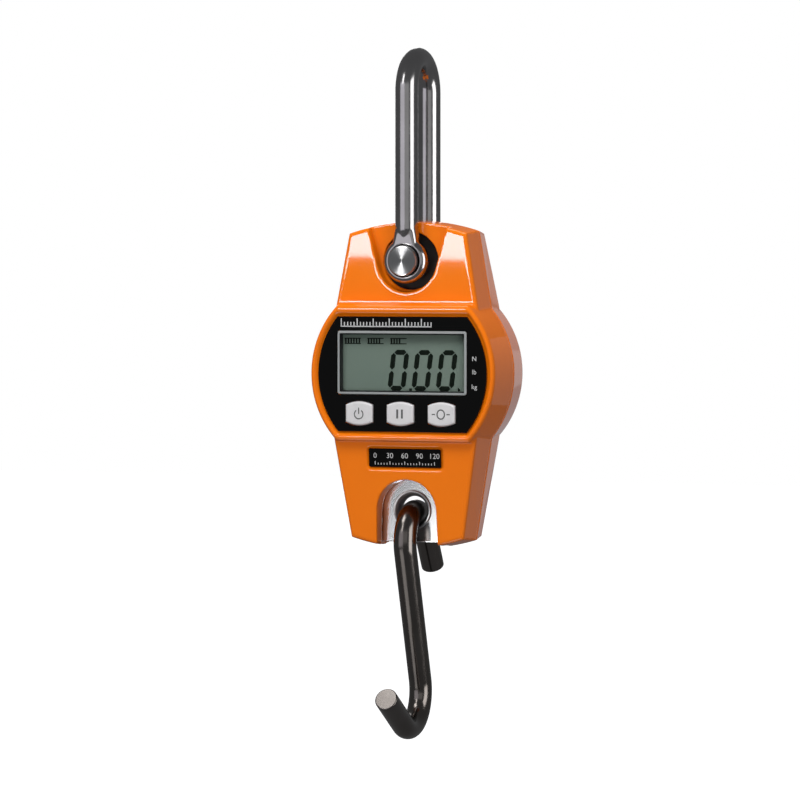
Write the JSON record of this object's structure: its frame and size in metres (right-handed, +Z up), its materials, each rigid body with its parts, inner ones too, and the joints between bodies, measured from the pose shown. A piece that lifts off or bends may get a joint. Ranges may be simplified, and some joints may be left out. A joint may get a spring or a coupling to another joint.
{
  "type": "crane scale",
  "caption": "Hand-held digital crane scale: shackle above, cast housing with display and keys, S-hook below.",
  "frame": {"origin": "inside of the crown of the shackle's bow, where the scale hangs", "axes": "+Z up along the hanging line, -Y out of the display, +X to the reader's right"},
  "size_m": [0.0778, 0.0605, 0.2648],
  "materials": {
    "paint": "glossy orange powder-coat paint",
    "dark_steel": "polished dark stainless steel",
    "turned_steel": "turned steel, spun face",
    "zinc_steel": "zinc plated",
    "satin_aluminium": "satin machined",
    "gloss_black": "gloss black overlay",
    "black_plastic": "matt black",
    "white_plastic": "satin white keys",
    "grey_plastic": "light grey frame",
    "lens": "clear lens",
    "lcd": "grey-green liquid crystal",
    "board": "green circuit board",
    "gauge": "foil on amber film",
    "spring_metal": "nickel-brass",
    "battery": "printed sleeve",
    "lead": "red insulation"
  },
  "bodies": {
    "shackle": {"shackle_bow": "dark_steel", "shackle_pin": "turned_steel", "pin_nut": "zinc_steel", "front_spacer": "black_plastic", "rear_spacer": "black_plastic"},
    "eyelet": {"hook_eyelet": "turned_steel"},
    "hook": {"s_hook": "dark_steel"},
    "power_key": {"power_button": "white_plastic"},
    "hold_key": {"hold_button": "white_plastic"},
    "tare_key": {"tare_button": "white_plastic"},
    "cover": {"battery_cover": "paint"},
    "cover_bolt": {"cover_screw": "zinc_steel"},
    "housing": {"front_shell": "paint", "rear_shell": "paint", "load_cell": "satin_aluminium", "strain_gauge_left": "gauge", "strain_gauge_right": "gauge", "face_panel": "gloss_black", "lcd_bezel": "grey_plastic", "display_window": "lens", "lcd_glass": "lcd", "backlight": "white_plastic", "main_board": "board", "adc_chip": "black_plastic", "capacity_label": "gloss_black", "battery_tray": "black_plastic", "contact_plate_left": "spring_metal", "contact_plate_right": "spring_metal", "cell_lead": "lead", "battery_lead": "lead", "shell_screw_1": "zinc_steel", "shell_screw_2": "zinc_steel", "shell_screw_3": "zinc_steel", "shell_screw_4": "zinc_steel", "cell_screw_1": "zinc_steel", "board_screw_1": "zinc_steel", "cell_screw_2": "zinc_steel", "board_screw_2": "zinc_steel", "key_switch_1": "black_plastic", "battery_1": "battery", "battery_spring_1": "spring_metal", "key_switch_2": "black_plastic", "battery_2": "battery", "battery_spring_2": "spring_metal", "key_switch_3": "black_plastic", "battery_3": "battery", "battery_spring_3": "spring_metal"}
  },
  "joints": [
    {"name": "housing_swing", "type": "hinge", "parent": "shackle", "child": "housing", "pos_m": [0, 0, -0.0729], "axis": [0, 1, 0], "range_deg": [-32, 32]},
    {"name": "hook_sway", "type": "hinge", "parent": "housing", "child": "eyelet", "pos_m": [0, -0.003, -0.1684], "axis": [0, 1, 0], "range_deg": [-20, 20]},
    {"name": "hook_tilt", "type": "hinge", "parent": "eyelet", "child": "hook", "pos_m": [0, -0.003, -0.1805], "axis": [1, 0, 0], "range_deg": [-60, 30]},
    {"name": "power_press", "type": "slide", "parent": "housing", "child": "power_key", "axis": [0, 1, 0], "range_m": [0, 0.0008], "stiffness_N_per_m": 400},
    {"name": "hold_press", "type": "slide", "parent": "housing", "child": "hold_key", "axis": [0, 1, 0], "range_m": [0, 0.0008], "stiffness_N_per_m": 400},
    {"name": "tare_press", "type": "slide", "parent": "housing", "child": "tare_key", "axis": [0, 1, 0], "range_m": [0, 0.0008], "stiffness_N_per_m": 400},
    {"name": "cover_lift", "type": "slide", "parent": "housing", "child": "cover", "axis": [0, 1, 0], "range_m": [0, 0.03]},
    {"name": "screw_turn", "type": "hinge", "parent": "cover", "child": "cover_bolt", "pos_m": [0, 0.018, -0.1372], "axis": [0, 1, 0], "continuous": true}
  ]
}
